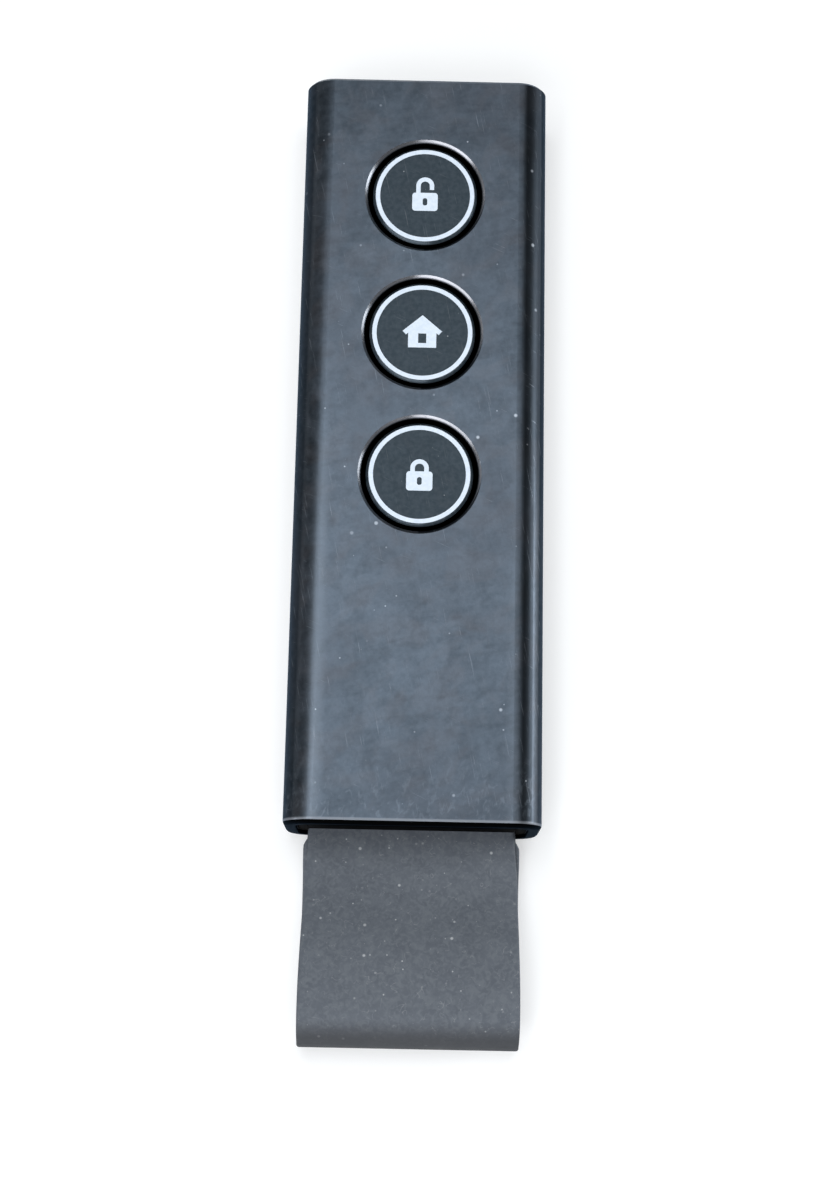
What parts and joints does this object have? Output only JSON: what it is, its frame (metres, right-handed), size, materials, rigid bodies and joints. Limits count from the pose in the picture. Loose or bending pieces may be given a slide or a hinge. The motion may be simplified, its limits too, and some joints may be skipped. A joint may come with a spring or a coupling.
{
  "type": "alarm key fob",
  "caption": "Slim alarm key fob: a dark tube-shaped sleeve with round push buttons in its front, and a wide strap loop that pulls the inner core out for the cell.",
  "frame": {"origin": "middle of the sleeve's flat back, on which the fob rests", "axes": "+X across the fob, +Y along it from the strap towards the closed end, +Z out of the front with the buttons"},
  "size_m": [0.026, 0.1023, 0.011],
  "materials": {
    "housing_plastic": "near-black satin moulded plastic, handled and finely scratched",
    "cap_plastic": "near-black satin moulded plastic with a white printed ring and figure",
    "inner_plastic": "black moulded plastic, matt",
    "board_laminate": "green solder mask on glass laminate",
    "chip_plastic": "black moulding compound",
    "plunger_plastic": "black moulded nylon",
    "cell_can": "nickel-plated steel can",
    "contact_metal": "gold-plated copper alloy",
    "sheet_metal": "bare stainless sheet",
    "screw_metal": "zinc-plated steel",
    "strap_silicone": "dark grey silicone, matt, with lint on it"
  },
  "bodies": {
    "housing": {"sleeve": "housing_plastic", "button_carrier": "inner_plastic"},
    "core": {"core_tray": "inner_plastic", "core_cover": "inner_plastic", "circuit_board": "board_laminate", "coin_cell": "cell_can", "positive_contact": "contact_metal", "negative_contact": "contact_metal", "radio_chip": "chip_plastic", "crystal": "sheet_metal", "chip_parts": "chip_plastic", "antenna": "contact_metal", "board_screws": "screw_metal", "end_plug": "inner_plastic", "clamp_screws": "screw_metal", "detent_spring": "sheet_metal", "strap": "strap_silicone", "disarm_switch_base": "chip_plastic", "disarm_switch_cover": "sheet_metal", "disarm_switch_dome": "sheet_metal", "stay_switch_base": "chip_plastic", "stay_switch_cover": "sheet_metal", "stay_switch_dome": "sheet_metal", "arm_switch_base": "chip_plastic", "arm_switch_cover": "sheet_metal", "arm_switch_dome": "sheet_metal"},
    "disarm_button": {"disarm_button_cap": "cap_plastic"},
    "disarm_plunger": {"disarm_switch_plunger": "plunger_plastic"},
    "stay_button": {"stay_button_cap": "cap_plastic"},
    "stay_plunger": {"stay_switch_plunger": "plunger_plastic"},
    "arm_button": {"arm_button_cap": "cap_plastic"},
    "arm_plunger": {"arm_switch_plunger": "plunger_plastic"}
  },
  "joints": [
    {"name": "core_slide", "type": "slide", "parent": "housing", "child": "core", "axis": [0, -1, 0], "range_m": [0, 0.06], "deforming": ["detent_spring"]},
    {"name": "disarm_press", "type": "slide", "parent": "housing", "child": "disarm_button", "axis": [0, 0, -1], "range_m": [0, 0.00035], "stiffness_N_per_m": 2000, "springref_m": -0.0001},
    {"name": "disarm_plunger_slide", "type": "slide", "parent": "core", "child": "disarm_plunger", "axis": [0, 0, -1], "range_m": [0, 0.00035], "deforming": ["disarm_switch_dome"]},
    {"name": "stay_press", "type": "slide", "parent": "housing", "child": "stay_button", "axis": [0, 0, -1], "range_m": [0, 0.00035], "stiffness_N_per_m": 2000, "springref_m": -0.0001},
    {"name": "stay_plunger_slide", "type": "slide", "parent": "core", "child": "stay_plunger", "axis": [0, 0, -1], "range_m": [0, 0.00035], "deforming": ["stay_switch_dome"]},
    {"name": "arm_press", "type": "slide", "parent": "housing", "child": "arm_button", "axis": [0, 0, -1], "range_m": [0, 0.00035], "stiffness_N_per_m": 2000, "springref_m": -0.0001},
    {"name": "arm_plunger_slide", "type": "slide", "parent": "core", "child": "arm_plunger", "axis": [0, 0, -1], "range_m": [0, 0.00035], "deforming": ["arm_switch_dome"]}
  ],
  "couplings": [
    {"joint": "disarm_plunger_slide", "follows": "disarm_press", "ratio": 1},
    {"joint": "stay_plunger_slide", "follows": "stay_press", "ratio": 1},
    {"joint": "arm_plunger_slide", "follows": "arm_press", "ratio": 1}
  ]
}
